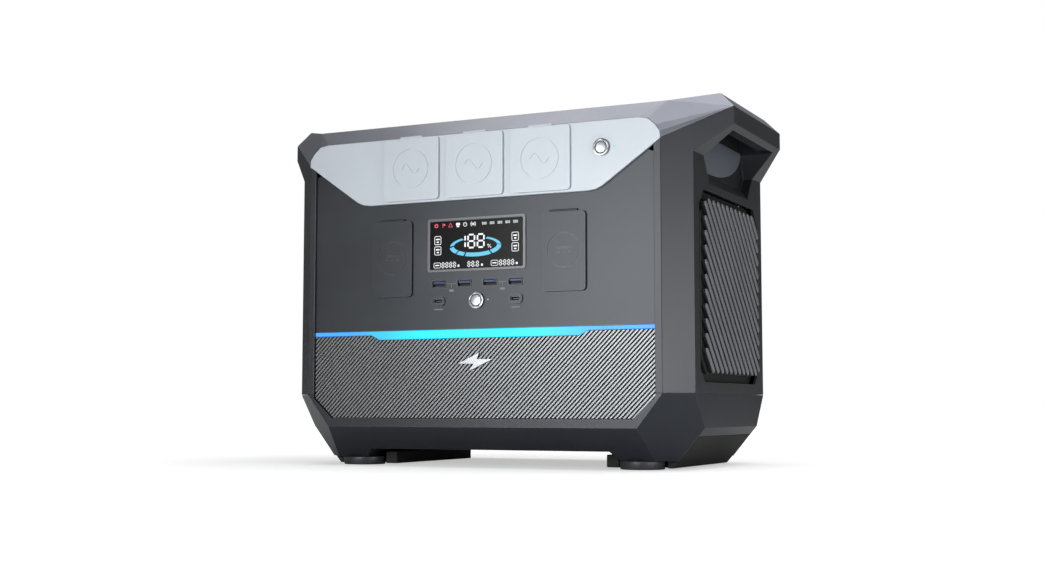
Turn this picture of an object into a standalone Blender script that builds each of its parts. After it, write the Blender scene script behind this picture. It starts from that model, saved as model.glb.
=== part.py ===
"""A portable power station: two side shells with lifting hoods, covers, ports, cells and electronics.

Sizes below are in millimetres and are scaled to metres as each mesh is made. +X is right, +Y is back,
+Z is up, and the origin is at the middle of the footprint, on the surface the object stands on.
"""

import math

import bmesh
import bpy
from mathutils import Matrix, Vector

MM = 0.001
GAP = 0.3
WALL = 3.0

BODY_HALF = 196.6
EAR_HALF = 224.3
RIM_HALF = 175.0
DEPTH_HALF = 120.9
EAR_CORNER = EAR_HALF - RIM_HALF
EAR_DEPTH_HALF = DEPTH_HALF - EAR_CORNER

PARTING_Z = 64.8
SLOPE_Z = 35.6
PAD_Z = 7.6
CHANNEL_Z = 15.3
CHANNEL_HALF = 119.0
EAR_ROOT_Z = 269.5
EAR_TIP_Z = 295.7
COVER_SIDE_Z = 310.7
COVER_FRONT_Z = 279.0
SHOULDER_Z = 298.0
DECK_Z = 314.0
RIDGE_Z = 323.9
RIDGE_X = 211.0
RIDGE_INSET = 4.2
SHOULDER_DEPTH = 18.0
CORNER_LEAN = 0.788
SIDE_LEAN = 0.84
ROOF_HIGH_Z = 400.0
ROOF_CORNER = ((155.0, SHOULDER_Z), (163.6, 296.6), (170.6, 290.4), (174.5, 284.7))

PANEL_HALF = 168.4
PANEL_INSET = 2.5
BAR_TOP_Z = 122.2
BAR_THIN_Z = 118.8
BAR_THICK_Z = 114.6
BAR_THICK_HALF = 99.3
GRILLE_LOW_Z = 43.3
GRILLE_CHAMFER = 20.0
BAR_STEP = 8.5
FASCIA_LOW_Z = 238.0
FASCIA_LOW_END = ((122.0, 241.6), (116.0, 239.0), (109.0, FASCIA_LOW_Z))
FASCIA_TIP_Z = 278.6

AC_PITCH = 64.6
AC_SIZE = 57.0
AC_TOP_Z = 297.0
AC_SOCKET_Z = 268.0
AC_HOLE_HALF = 19.0
PLUG_PIN_X = 6.35
DC_X = 85.5
DC_WIDTH = 41.5
DC_HEIGHT = 69.0
DC_TOP_Z = 221.8
DC_SOCKET_Z = 187.3
DC_SOCKET_RADIUS = 14.6
COVER_THICK = 2.0
COVER_CORNER = 3.5
AC_TAB, DC_TAB = 22.0, 26.0
FASCIA_Y = -DEPTH_HALF - 0.6
PANEL_Y = -DEPTH_HALF + PANEL_INSET

USB_Z = 163.3
USB_A_XS = (-37.7, -12.0, 13.6, 38.6)
USB_C_Z = 147.9
USB_C_XS = (-37.9, 39.0)
DC_BUTTON = (0.5, 147.7)
AC_BUTTON = (122.0, 274.7)
BUTTON_HOLE_RADIUS = 6.6
DISPLAY_Z = 198.0
DISPLAY_HOLE = (46.4, 21.9)

INLET_Z = 200.0
AC_INLET_X = -24.0
SOLAR_INLET_X = 24.0
BREAKER = (70.0, INLET_Z)
FLAP_HALF = 48.0
FLAP_LOW_Z, FLAP_HIGH_Z = 176.0, 224.0
FLAP_Y = 121.2
FLAP_THICK = 2.6
FLAP_HINGE = (0.0, 122.5, 225.0)

FOOT_X, FOOT_Y, FOOT_RADIUS, FOOT_HEIGHT = 140.0, 76.0, 20.0, 7.3
SKID_HALF_LENGTH = 75.0
POCKET_WALL_X = 188.0
LIP_X = 219.8
POCKET_CEILING_Z = 306.0
GRIP_HALF = 60.5
GRIP_LOW_Z = 293.5
GRIP_PITCH = 5.0
GRIP_RIB = 3.2
GRIP_GROOVE = 1.7
VENT_HALF = 86.0
VENT_LOW_Z, VENT_HIGH_Z = 74.5, 240.5
VENT_PLATE_X = (187.5, 191.5)
VENT_FIELD_X = (190.0, 200.5)
FAN_X, FAN_Z, FAN_HALF, FAN_THICK = 166.0, 152.0, 46.0, 25.0
FAN_BORE, FAN_HUB, FAN_BLADES = 43.0, 17.0, 7

INSIDE_HALF_X = 144.0
INSIDE_FRONT_Y, INSIDE_BACK_Y = -88.0, 92.0
FIN_COUNT, FIN_PITCH, FIN_THICK = 12, 22.0, 4.0
SINK_HALF, SINK_LOW_Z, SINK_BASE_Z, SINK_HIGH_Z = 130.0, 170.0, 174.0, 205.0

parts = bpy.data.collections.new("power_station")
cutters = bpy.data.collections.new("cutters")
TO_AXIS = {
    "X": Matrix(((0, 0, 1), (1, 0, 0), (0, 1, 0))).to_4x4(),
    "Y": Matrix(((1, 0, 0), (0, 0, -1), (0, 1, 0))).to_4x4(),
    "Z": Matrix.Identity(4),
}

CHARCOAL = ((0.075, 0.08, 0.09), 0.45, 0.0)
SHELL = ((0.1, 0.105, 0.115), 0.5, 0.0)
COVER_GREY = ((0.3, 0.31, 0.34), 0.4, 0.3)
SILVER = ((0.68, 0.71, 0.75), 0.35, 0.6)
BLACK = ((0.015, 0.015, 0.018), 0.6, 0.0)
RUBBER = ((0.03, 0.03, 0.032), 0.85, 0.0)
GLASS = ((0.01, 0.012, 0.015), 0.08, 0.0)
LIT = ((0.05, 0.65, 1.0), 0.3, 0.0)
STEEL = ((0.6, 0.6, 0.62), 0.3, 1.0)
ALUMINIUM = ((0.75, 0.76, 0.78), 0.35, 1.0)
BOARD = ((0.02, 0.16, 0.07), 0.5, 0.0)
CELL_BLUE = ((0.04, 0.12, 0.3), 0.5, 0.0)
COPPER = ((0.72, 0.35, 0.18), 0.35, 1.0)


def clear_scene():
    """Removes what the scene starts with and links the two collections."""
    for item in list(bpy.data.objects):
        bpy.data.objects.remove(item)
    for collection in (parts, cutters):
        bpy.context.scene.collection.children.link(collection)


def material(name, look):
    """A Principled material with the look's colour, roughness and metallic value."""
    colour, roughness, metallic = look
    made = bpy.data.materials.new(name)
    made.use_nodes = True
    shader = made.node_tree.nodes["Principled BSDF"]
    shader.inputs["Base Color"].default_value = (*colour, 1)
    shader.inputs["Roughness"].default_value = roughness
    shader.inputs["Metallic"].default_value = metallic
    return made


def add(name, mesh, look):
    """Puts a mesh into the scene as a named part, or as a cutter when it has no look."""
    made = bpy.data.objects.new(name, mesh)
    if look is None:
        cutters.objects.link(made)
        made.hide_render = True
        made.display_type = "WIRE"
        return made
    parts.objects.link(made)
    mesh.materials.clear()
    mesh.materials.append(material(name, look))
    mesh.shade_smooth()
    mesh.set_sharp_from_angle(angle=math.radians(30))
    return made


def outlined(name, outline, axis, low, high, look=None):
    """A flat outline, pushed along an axis from low to high. Its two values are the other axes, in order."""
    mesh = bpy.data.meshes.new(name)
    body = bmesh.new()
    corners = [body.verts.new((across * MM, up * MM, low * MM)) for across, up in outline]
    face = body.faces.new(corners)
    pushed = bmesh.ops.extrude_face_region(body, geom=[face])
    moved = [item for item in pushed["geom"] if isinstance(item, bmesh.types.BMVert)]
    bmesh.ops.translate(body, vec=(0, 0, (high - low) * MM), verts=moved)
    if axis == "Y":
        bmesh.ops.scale(body, vec=(1, 1, -1), verts=body.verts)
    body.to_mesh(mesh)
    body.free()
    return finished(name, mesh, TO_AXIS[axis], look)


def finished(name, mesh, matrix, look):
    """Places a mesh, turns its faces outwards and adds it."""
    body = bmesh.new()
    body.from_mesh(mesh)
    bmesh.ops.transform(body, matrix=matrix, verts=body.verts)
    bmesh.ops.recalc_face_normals(body, faces=body.faces)
    body.to_mesh(mesh)
    body.free()
    return add(name, mesh, look)


def box(name, low, high, look=None, chamfer=0.0):
    """A box between two corners, with chamfered edges if asked."""
    mesh = bpy.data.meshes.new(name)
    body = bmesh.new()
    bmesh.ops.create_cube(body, size=1)
    size = Vector(high) - Vector(low)
    middle = (Vector(high) + Vector(low)) / 2
    bmesh.ops.scale(body, vec=size * MM, verts=body.verts)
    bmesh.ops.translate(body, vec=middle * MM, verts=body.verts)
    if chamfer:
        bmesh.ops.bevel(body, geom=body.edges, offset=chamfer * MM, segments=1, affect="EDGES")
    body.to_mesh(mesh)
    body.free()
    return add(name, mesh, look)


def rod(name, centre, axis, radius, length, look=None, sides=24, tip=None):
    """A cylinder, or a cone with tip as its far radius, centred at a point along an axis."""
    mesh = bpy.data.meshes.new(name)
    body = bmesh.new()
    tip = radius if tip is None else tip
    bmesh.ops.create_cone(
        body, cap_ends=True, segments=sides, radius1=radius * MM, radius2=tip * MM, depth=length * MM
    )
    body.to_mesh(mesh)
    body.free()
    return finished(name, mesh, Matrix.Translation(Vector(centre) * MM) @ TO_AXIS[axis], look)


def hull(name, points, look=None):
    """The convex solid round a set of points."""
    mesh = bpy.data.meshes.new(name)
    body = bmesh.new()
    for point in points:
        body.verts.new(Vector(point) * MM)
    made = bmesh.ops.convex_hull(body, input=body.verts)
    loose = [item for item in made["geom_interior"] if isinstance(item, bmesh.types.BMVert)]
    bmesh.ops.delete(body, geom=loose, context="VERTS")
    bmesh.ops.dissolve_limit(body, angle_limit=0.001, verts=body.verts, edges=body.edges)
    bmesh.ops.recalc_face_normals(body, faces=body.faces)
    body.to_mesh(mesh)
    body.free()
    return add(name, mesh, look)


def combine(target, tool, operation="DIFFERENCE"):
    """Adds one exact Boolean to a part."""
    modifier = target.modifiers.new(tool.name, "BOOLEAN")
    modifier.operation = operation
    modifier.object = tool
    return target


def hinge_at(target, point):
    """Moves an object's origin to a point on its joint's axis and leaves its shape in place."""
    target.data.transform(Matrix.Translation(-Vector(point) * MM))
    target.location = Vector(point) * MM


def arc(centre, radius, start, end, steps):
    """Points on a circle from one angle to another, in degrees."""
    angles = [math.radians(start + (end - start) * step / steps) for step in range(steps + 1)]
    return [(centre[0] + radius * math.cos(a), centre[1] + radius * math.sin(a)) for a in angles]


def circle(centre, radius, sides=24):
    """A regular polygon that stands for a circle."""
    return arc(centre, radius, 0, 360 - 360 / sides, sides - 1)


def rounded(low, high, radius, steps=3):
    """A rectangle with round corners."""
    centres = (
        ((high[0] - radius, high[1] - radius), 0),
        ((low[0] + radius, high[1] - radius), 90),
        ((low[0] + radius, low[1] + radius), 180),
        ((high[0] - radius, low[1] + radius), 270),
    )
    return [point for centre, start in centres for point in arc(centre, radius, start, start + 90, steps)]


def mirrored(points):
    """Adds the mirror image of a half outline, so that the whole runs round once."""
    return points + [(-across, up) for across, up in reversed(points) if abs(across) > 0.01]


def flipped(points, side):
    """An outline on the right, or its mirror image on the left."""
    return [(side * across, up) for across, up in points]


def octagon(half_width, half_depth, corner_sum, z):
    """Eight points of a plan section whose 45 degree corners lie on |x| + |y| = corner_sum."""
    front_x = corner_sum - half_depth
    side_y = corner_sum - half_width
    return [
        (sx * x, sy * y, z)
        for sx in (-1, 1)
        for sy in (-1, 1)
        for x, y in ((front_x, half_depth), (half_width, side_y))
    ]


def base_section(z, inset=0.0):
    """The bottom shell's plan section at a height: upright to SLOPE_Z, then drawn in to the pads."""
    fall = max(0.0, SLOPE_Z - z)
    corner_sum = RIM_HALF + DEPTH_HALF - CORNER_LEAN * (PARTING_Z - min(z, PARTING_Z))
    width = BODY_HALF - SIDE_LEAN * fall - inset
    return octagon(width, DEPTH_HALF - fall - inset, corner_sum - 1.4 * inset, z)


def fascia_outline(grow=0.0):
    """The silver fascia: a wide top edge, round shoulders, pointed ends and a raised middle below."""
    half = [
        (0, SHOULDER_Z + grow),
        (155 + grow / 2, SHOULDER_Z + grow),
        (163.6 + grow, 296.6 + grow),
        (170.6 + grow, 290.4 + grow),
        (174.5 + grow, 284.7),
        (RIM_HALF + grow, FASCIA_TIP_Z - grow),
        *[(x, z - grow) for x, z in FASCIA_LOW_END],
        (0, FASCIA_LOW_Z - grow),
    ]
    return mirrored(half)


def grille_outline(grow=0.0):
    """The lower grille, with chamfered lower corners and a top edge that follows the light bar."""
    half = [
        (0, BAR_THICK_Z - GAP),
        (BAR_THICK_HALF, BAR_THICK_Z - GAP),
        (BAR_THICK_HALF + BAR_STEP, BAR_THIN_Z - GAP),
        (PANEL_HALF + grow, BAR_THIN_Z - GAP),
        (PANEL_HALF + grow, GRILLE_LOW_Z + 18.2 - grow / 2),
        (PANEL_HALF - GRILLE_CHAMFER + grow / 2, GRILLE_LOW_Z - grow),
        (0, GRILLE_LOW_Z - grow),
    ]
    return mirrored(half)


def skid_outline(grow=0.0):
    """The skid's section in front view: its outer side lies on the shell's side slope."""
    return [
        (190.5 + grow, 28 + grow),
        (183 - grow, 28 + grow),
        (150, 12 + grow),
        (106 - grow, 12 + grow),
        (106 - grow, 1 - 10 * grow),
        (167.6 + 12 * grow, 1 - 10 * grow),
    ]


def bottom_shell():
    """The lower tub: sloped sides, a front rim round the grille, a channel and seats for the skids."""
    points = [p for z in (PARTING_Z - 0.15, SLOPE_Z, PAD_Z) for p in base_section(z)]
    shell = hull("bottom_shell", points, SHELL)
    inner = base_section(PARTING_Z + 8, WALL) + base_section(SLOPE_Z + 1, WALL + 1)
    inner += [(sx * 150, sy * 98, 19) for sx in (-1, 1) for sy in (-1, 1)]
    combine(shell, hull("cut_base_inside", inner))
    combine(shell, outlined("cut_base_front", grille_outline(GAP), "Y", -DEPTH_HALF - 5, -DEPTH_HALF + 9))
    low = CHANNEL_HALF + CHANNEL_Z
    channel = mirrored([(0, CHANNEL_Z), (CHANNEL_HALF, CHANNEL_Z), (low, 0), (0, 0)])
    combine(shell, outlined("cut_channel", channel, "Y", -140, 140))
    for side, word in ((-1, "left"), (1, "right")):
        seat = flipped(skid_outline(GAP), side)
        reach = SKID_HALF_LENGTH + GAP
        combine(shell, outlined(f"cut_skid_seat_{word}", seat, "Y", -reach, reach))


def skids():
    """A black rail under each side, notched round the feet."""
    for side, word in ((-1, "left"), (1, "right")):
        name = f"{word}_base_skid"
        rail = outlined(name, flipped(skid_outline(), side), "Y", -SKID_HALF_LENGTH, SKID_HALF_LENGTH, RUBBER)
        for end in (-1, 1):
            notch = rod(
                f"cut_{name}_{end}", (side * FOOT_X, end * FOOT_Y, 5), "Z", FOOT_RADIUS + 2.5, 60, sides=32
            )
            combine(rail, notch)


def feet():
    """Four round feet under the corner pads."""
    for name, sx, sy in (
        ("front_left_foot", -1, -1),
        ("front_right_foot", 1, -1),
        ("rear_left_foot", -1, 1),
        ("rear_right_foot", 1, 1),
    ):
        centre = (sx * FOOT_X, sy * FOOT_Y, FOOT_HEIGHT / 2)
        rod(name, centre, "Z", FOOT_RADIUS - 0.8, FOOT_HEIGHT, RUBBER, 40, FOOT_RADIUS)


def side_shell(side, word):
    """One side: corner faces, the side wall with its vent opening, and the hood that is the handle."""
    front = [
        (PANEL_HALF + GAP, PARTING_Z + 0.15),
        (BODY_HALF, PARTING_Z + 0.15),
        (BODY_HALF, EAR_ROOT_Z),
        (EAR_HALF, EAR_TIP_Z),
        (EAR_HALF, COVER_SIDE_Z + 5),
        (PANEL_HALF + GAP, COVER_SIDE_Z + 5),
    ]
    reach = DEPTH_HALF + 10
    shell = outlined(f"{word}_side_shell", flipped(front, side), "Y", -reach, reach, SHELL)
    plan = octagon(EAR_HALF, DEPTH_HALF, RIM_HALF + DEPTH_HALF, 0)
    plan = hull(f"cut_plan_{word}", plan + [(x, y, ROOF_HIGH_Z) for x, y, _ in plan])
    combine(shell, plan, "INTERSECT")
    drop = (COVER_SIDE_Z - COVER_FRONT_Z) / EAR_CORNER * 10
    top = mirrored([
        (0, COVER_SIDE_Z),
        (EAR_DEPTH_HALF, COVER_SIDE_Z),
        (DEPTH_HALF + 10, COVER_FRONT_Z - drop),
        (DEPTH_HALF + 10, 0),
        (0, 0),
    ])
    combine(shell, outlined(f"cut_roof_{word}", top, "X", -300, 300), "INTERSECT")
    corner_sum = RIM_HALF + DEPTH_HALF - 1.4 * WALL
    for label, width, low, high in (("low", BODY_HALF - WALL, 60, 243.2), ("high", 185.5, 243, 330)):
        section = octagon(width, DEPTH_HALF - WALL, corner_sum, low)
        section += [(x, y, high) for x, y, _ in section]
        combine(shell, hull(f"cut_inside_{label}_{word}", section))
    pocket = flipped([
        (BODY_HALF + 4, 247),
        (BODY_HALF, 247),
        (POCKET_WALL_X, 258),
        (POCKET_WALL_X, POCKET_CEILING_Z),
        (LIP_X, POCKET_CEILING_Z),
        (LIP_X, 280),
        (BODY_HALF + 20, 260),
    ], side)
    opening = outlined(f"cut_pocket_{word}", pocket, "Y", -90, 90)
    mouth = mirrored([(0, 240), (56, 240), (58, 250), (72, EAR_ROOT_Z), (62, 291), (62, 320), (0, 320)])
    combine(opening, outlined(f"cut_mouth_{word}", mouth, "X", -300, 300), "INTERSECT")
    combine(shell, opening)
    combine(shell, outlined(f"cut_vent_{word}", vent_outline(), "X", *sorted((side * 180, side * 230))))
    cut = outlined(f"cut_tip_{word}", fascia_outline(GAP), "Y", -DEPTH_HALF - 6, -DEPTH_HALF + 6)
    combine(shell, cut)


def vent_outline(inset=0.0):
    """The vent recess in side view, with cut corners."""
    half, low, high = VENT_HALF - inset, VENT_LOW_Z + inset, VENT_HIGH_Z - inset
    corners = [(half - 13, high), (half, high - 15), (half, low + 12), (half - 12, low)]
    return mirrored([(0, high), *corners, (0, low)])


def vents():
    """Vent grilles: a backing plate in the opening, with a raised field that the louvres stand in."""
    for side, word in ((-1, "left"), (1, "right")):
        name = f"{word}_vent_grille"
        plate = outlined(name, vent_outline(GAP), "X", *sorted(side * x for x in VENT_PLATE_X), SHELL)
        field = outlined(f"add_field_{word}", vent_outline(6), "X", *sorted(side * x for x in VENT_FIELD_X))
        combine(plate, field, "UNION")


def grips():
    """Ribbed rubber strips behind the lip of each hood."""
    for side, word in ((-1, "left"), (1, "right")):
        profile = [(-GRIP_HALF, POCKET_CEILING_Z - GAP), (-GRIP_HALF, GRIP_LOW_Z)]
        for step in range(int(2 * GRIP_HALF / GRIP_PITCH)):
            start = -GRIP_HALF + 0.5 + step * GRIP_PITCH
            rib = [(start, GRIP_LOW_Z), (start + GRIP_RIB, GRIP_LOW_Z)]
            profile += rib + [(y, GRIP_LOW_Z + GRIP_GROOVE) for y in (start + GRIP_RIB, start + GRIP_PITCH)]
        profile[-1] = (GRIP_HALF, GRIP_LOW_Z + GRIP_GROOVE)
        profile += [(GRIP_HALF, POCKET_CEILING_Z - GAP)]
        name = f"{word}_handle_grip"
        outlined(name, profile, "X", *sorted((side * 207, side * (LIP_X - GAP))), RUBBER)


def top_cover():
    """The roof: front and rear shoulders, a flat deck and a raised ridge over each hood."""
    half = [
        *[(x, DEPTH_HALF, z) for x, z in ROOF_CORNER],
        (RIM_HALF, DEPTH_HALF, COVER_FRONT_Z),
        (EAR_HALF, EAR_DEPTH_HALF, COVER_SIDE_Z),
        (RIDGE_X, EAR_DEPTH_HALF - RIDGE_INSET, RIDGE_Z),
        (RIM_HALF, DEPTH_HALF - SHOULDER_DEPTH, DECK_Z),
    ]
    points = [(sx * x, sy * y, z) for x, y, z in half for sx in (-1, 1) for sy in (-1, 1)]
    cover = hull("top_cover", points, COVER_GREY)
    drop = (COVER_SIDE_Z - COVER_FRONT_Z) / EAR_CORNER * 10
    below = mirrored([
        (0, COVER_SIDE_Z + GAP),
        (EAR_DEPTH_HALF, COVER_SIDE_Z + GAP),
        (DEPTH_HALF + 10, COVER_FRONT_Z - drop + GAP),
        (DEPTH_HALF + 10, 0),
        (0, 0),
    ])
    under = outlined("cut_cover_below", below, "X", -170.2, 170.2)
    for side, word in ((-1, "left"), (1, "right")):
        edge = outlined(f"cut_cover_edge_{word}", below, "X", *sorted((side * 170, side * 300)))
        combine(cover, edge)
    inner = [(x - 6, y - WALL - 1, z - WALL) for x, y, z in half[:2]] + [(160, DEPTH_HALF - WALL - 1, 260)]
    inner += [(164, DEPTH_HALF - SHOULDER_DEPTH - WALL, DECK_Z - WALL)]
    hollow = [(sx * x, sy * y, z) for x, y, z in inner for sx in (-1, 1) for sy in (-1, 1)]
    combine(cover, hull("cut_cover_inside", hollow))
    combine(cover, under)
    deck = mirrored([(0, DECK_Z), (RIM_HALF, DECK_Z), (RIDGE_X, RIDGE_Z), (RIDGE_X, 350), (0, 350)])
    combine(cover, outlined("cut_deck", deck, "Y", -140, 140))
    combine(cover, outlined("cut_cover_fascia", fascia_outline(GAP), "Y", -DEPTH_HALF - 6, -DEPTH_HALF + 9))
    combine(cover, outlined("cut_cover_rear", fascia_outline(GAP), "Y", DEPTH_HALF - 9, DEPTH_HALF + 6))


def holes(panel, places):
    """Cuts one hole through a panel for each named outline."""
    low, high = (-150, -100) if panel.name != "rear_panel" else (100, 150)
    for label, outline in places:
        combine(panel, outlined(f"cut_{panel.name}_{label}", outline, "Y", low, high))


def around(x, z, half_width, half_height, radius=0.5, steps=2):
    """A rounded rectangle about a centre."""
    low, high = (x - half_width, z - half_height), (x + half_width, z + half_height)
    return rounded(low, high, radius, steps)


def ac_holes():
    """One opening for each AC socket."""
    half = AC_HOLE_HALF
    return [(f"ac_{i}", around(i * AC_PITCH, AC_SOCKET_Z, half, half, 4)) for i in (-1, 0, 1)]


def panel_outline():
    """The front and rear panels, narrowed at the top so that they pass under the roof."""
    return mirrored([
        (0, 296),
        (148, 296),
        (148, 276),
        (PANEL_HALF, 268),
        (PANEL_HALF, BAR_TOP_Z + GAP),
        (0, BAR_TOP_Z + GAP),
    ])


def front_panel():
    """The charcoal panel above the light bar, with a hole for everything mounted in it."""
    panel = outlined("front_panel", panel_outline(), "Y", PANEL_Y, PANEL_Y + WALL, CHARCOAL)
    places = [(f"usb_a_{i}", around(x, USB_Z, 7.3, 3.4)) for i, x in enumerate(USB_A_XS)]
    places += [(f"usb_c_{i}", around(x, USB_C_Z, 6.1, 3.6, 3)) for i, x in enumerate(USB_C_XS)]
    places += ac_holes()
    places += [(f"dc_{i}", circle((i * DC_X, DC_SOCKET_Z), DC_SOCKET_RADIUS + 0.4)) for i in (-1, 1)]
    places += [("display", around(0, DISPLAY_Z, DISPLAY_HOLE[0], DISPLAY_HOLE[1] - 0.4, 1))]
    places += [("dc_button", circle(DC_BUTTON, BUTTON_HOLE_RADIUS))]
    places += [("ac_button", circle(AC_BUTTON, BUTTON_HOLE_RADIUS))]
    holes(panel, places)


def ac_fascia():
    """The silver plate round the AC sockets."""
    fascia = outlined("ac_fascia", fascia_outline(), "Y", FASCIA_Y, PANEL_Y - GAP, SILVER)
    places = ac_holes()
    places += [("button", circle(AC_BUTTON, BUTTON_HOLE_RADIUS))]
    holes(fascia, places)


def rear_panel():
    """The rear wall, with openings for the charging inlets and the breaker."""
    outline = mirrored([
        (0, SHOULDER_Z - GAP),
        (155, SHOULDER_Z - GAP),
        (163.3, 296.3),
        (170.2, 290.1),
        (173.8, 283),
        (PANEL_HALF, 283),
        (PANEL_HALF, PARTING_Z + GAP),
        (0, PARTING_Z + GAP),
    ])
    panel = outlined("rear_panel", outline, "Y", -PANEL_Y - WALL, -PANEL_Y, CHARCOAL)
    places = [("ac_inlet", around(AC_INLET_X, INLET_Z, 13.8, 10.3, 2))]
    places += [("solar_inlet", around(SOLAR_INLET_X, INLET_Z, 10.3, 7.3, 2))]
    places += [("breaker", circle(BREAKER, BUTTON_HOLE_RADIUS))]
    holes(panel, places)


def light_and_grille():
    """The light bar with its drop in the middle, the grille under it, and the emblem."""
    bar = mirrored([
        (0, BAR_TOP_Z),
        (PANEL_HALF, BAR_TOP_Z),
        (PANEL_HALF, BAR_THIN_Z),
        (BAR_THICK_HALF + BAR_STEP, BAR_THIN_Z),
        (BAR_THICK_HALF, BAR_THICK_Z),
        (0, BAR_THICK_Z),
    ])
    outlined("light_bar", bar, "Y", PANEL_Y - 0.6, PANEL_Y + 4, LIT)
    outlined("front_grille", grille_outline(), "Y", PANEL_Y - 0.4, PANEL_Y + 2.4, STEEL)
    bolt = [(4, 101.4), (-18, 91.4), (-2, 91.4), (-6, 85), (18, 95.6), (2, 95.6)]
    outlined("badge", bolt, "Y", PANEL_Y - 2, PANEL_Y - 0.7, SILVER)
    box("light_bar_board", (-160, PANEL_Y + 4.5, 114), (160, PANEL_Y + 6, 124), BOARD)


def display():
    """A chamfered bezel with a dark window in it and its board behind."""
    rim = around(0, DISPLAY_Z, 48.9, 24, 2)
    bezel = outlined("display_bezel", rim, "Y", PANEL_Y - 1.2, PANEL_Y - GAP, CHARCOAL)
    combine(bezel, outlined("cut_bezel", around(0, DISPLAY_Z, *DISPLAY_HOLE, 1), "Y", -140, -100))
    outlined("display_window", around(0, DISPLAY_Z, 46, 21.2, 0.8), "Y", PANEL_Y - 0.5, PANEL_Y + 2.2, GLASS)
    box("display_board", (-48, PANEL_Y + 5, 176), (48, PANEL_Y + 6.6, 220), BOARD)


def hinged_cover(name, centre_x, low_z, high_z, width, face_y, tab, look):
    """A cover on a barrel at its top edge. Its origin is on the barrel's axis."""
    hinge_z = high_z + 1.4
    hinge_y = face_y - COVER_THICK / 2 - GAP
    outline = rounded((centre_x - width / 2, low_z), (centre_x + width / 2, high_z), COVER_CORNER, 4)
    cover = outlined(name, outline, "Y", face_y - GAP - COVER_THICK, face_y - GAP, look)
    barrel = rod(f"add_{name}_barrel", (centre_x, hinge_y, hinge_z - 0.3), "X", 1.0, tab, sides=12)
    web = box(
        f"add_{name}_web",
        (centre_x - tab / 2, hinge_y - 0.6, high_z - 2),
        (centre_x + tab / 2, hinge_y + 0.6, hinge_z - 0.4),
    )
    combine(cover, web, "UNION")
    combine(cover, barrel, "UNION")
    point = (centre_x, hinge_y, hinge_z - 0.3)
    for tool in (cover, web, barrel):
        hinge_at(tool, point)


def covers():
    """Three AC covers, two DC covers and the flap over the charging inlets."""
    low_z = AC_TOP_Z - AC_SIZE
    for index in (-1, 0, 1):
        name = f"ac_cover_{index + 2}"
        hinged_cover(name, index * AC_PITCH, low_z, AC_TOP_Z, AC_SIZE, FASCIA_Y, AC_TAB, SILVER)
    low_z = DC_TOP_Z - DC_HEIGHT
    for side, word in ((-1, "left"), (1, "right")):
        hinged_cover(f"dc_cover_{word}", side * DC_X, low_z, DC_TOP_Z, DC_WIDTH, PANEL_Y, DC_TAB, CHARCOAL)
    rear_flap()


def rear_flap():
    """The flap over the charging inlets, on a barrel at its top edge."""
    outline = rounded((-FLAP_HALF, FLAP_LOW_Z), (FLAP_HALF, FLAP_HIGH_Z), 4, 4)
    flap = outlined("rear_port_cover", outline, "Y", FLAP_Y, FLAP_Y + FLAP_THICK, CHARCOAL)
    barrel = rod("add_rear_barrel", FLAP_HINGE, "X", 1.2, 40, sides=12)
    web = box("add_rear_web", (-20, FLAP_Y + 0.6, FLAP_HIGH_Z - 2), (20, FLAP_Y + 2, FLAP_HINGE[2]))
    combine(flap, web, "UNION")
    combine(flap, barrel, "UNION")
    for tool in (flap, web, barrel):
        hinge_at(tool, FLAP_HINGE)


def socket_body(name, centre, size, front_y, back_y, look=BLACK):
    """A moulded socket housing that fills its hole and has a wider flange inside the panel."""
    x, z = centre
    near, far = sorted((front_y, back_y))
    return outlined(name, around(x, z, size[0], size[1], min(size) * 0.2), "Y", near, far, look)


def sockets():
    """Three grounded AC sockets, a car socket, a two-pin DC inlet, and the rear charging inlets."""
    for index in (-1, 0, 1):
        x = index * AC_PITCH
        socket = socket_body(f"ac_socket_{index + 2}", (x, AC_SOCKET_Z), (18.6, 18.6), FASCIA_Y + 0.8, -92)
        slots = [("left", around(x - PLUG_PIN_X, AC_SOCKET_Z + 4, 1.1, 4))]
        slots += [("right", around(x + PLUG_PIN_X, AC_SOCKET_Z + 4, 1.1, 3.4))]
        slots += [("ground", around(x, AC_SOCKET_Z - 8, 2.4, 2.6, 2.3, 3))]
        holes_in(socket, slots, -104)
    car = rod("car_socket", (DC_X, -98.5, DC_SOCKET_Z), "Y", DC_SOCKET_RADIUS, 37, BLACK, 32)
    combine(car, rod("cut_car_socket", (DC_X, -110, DC_SOCKET_Z), "Y", 10.6, 48, sides=32))
    jacks = rod("dc_inlet_module", (-DC_X, -108.5, DC_SOCKET_Z), "Y", DC_SOCKET_RADIUS, 17, BLACK, 32)
    bores = [(f"{i}", circle((-DC_X, DC_SOCKET_Z + i * 6.5), 2.8, 12)) for i in (-1, 1)]
    holes_in(jacks, bores, -106)
    inlet = socket_body("ac_inlet", (AC_INLET_X, INLET_Z), (13.5, 10), -PANEL_Y + 0.8, 96)
    rear_recess(inlet, around(AC_INLET_X, INLET_Z, 11.8, 8, 1.5))
    solar = socket_body("solar_inlet", (SOLAR_INLET_X, INLET_Z), (10, 7), -PANEL_Y + 0.8, 100)
    rear_recess(solar, around(SOLAR_INLET_X, INLET_Z, 8.2, 5.2, 2))


def rear_recess(target, outline):
    """Hollows an inlet from the rear."""
    combine(target, outlined(f"cut_{target.name}", outline, "Y", 105, 140))


def holes_in(target, places, depth_y):
    """Cuts blind holes from the front to a depth."""
    for label, outline in places:
        combine(target, outlined(f"cut_{target.name}_{label}", outline, "Y", -160, depth_y))


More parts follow.
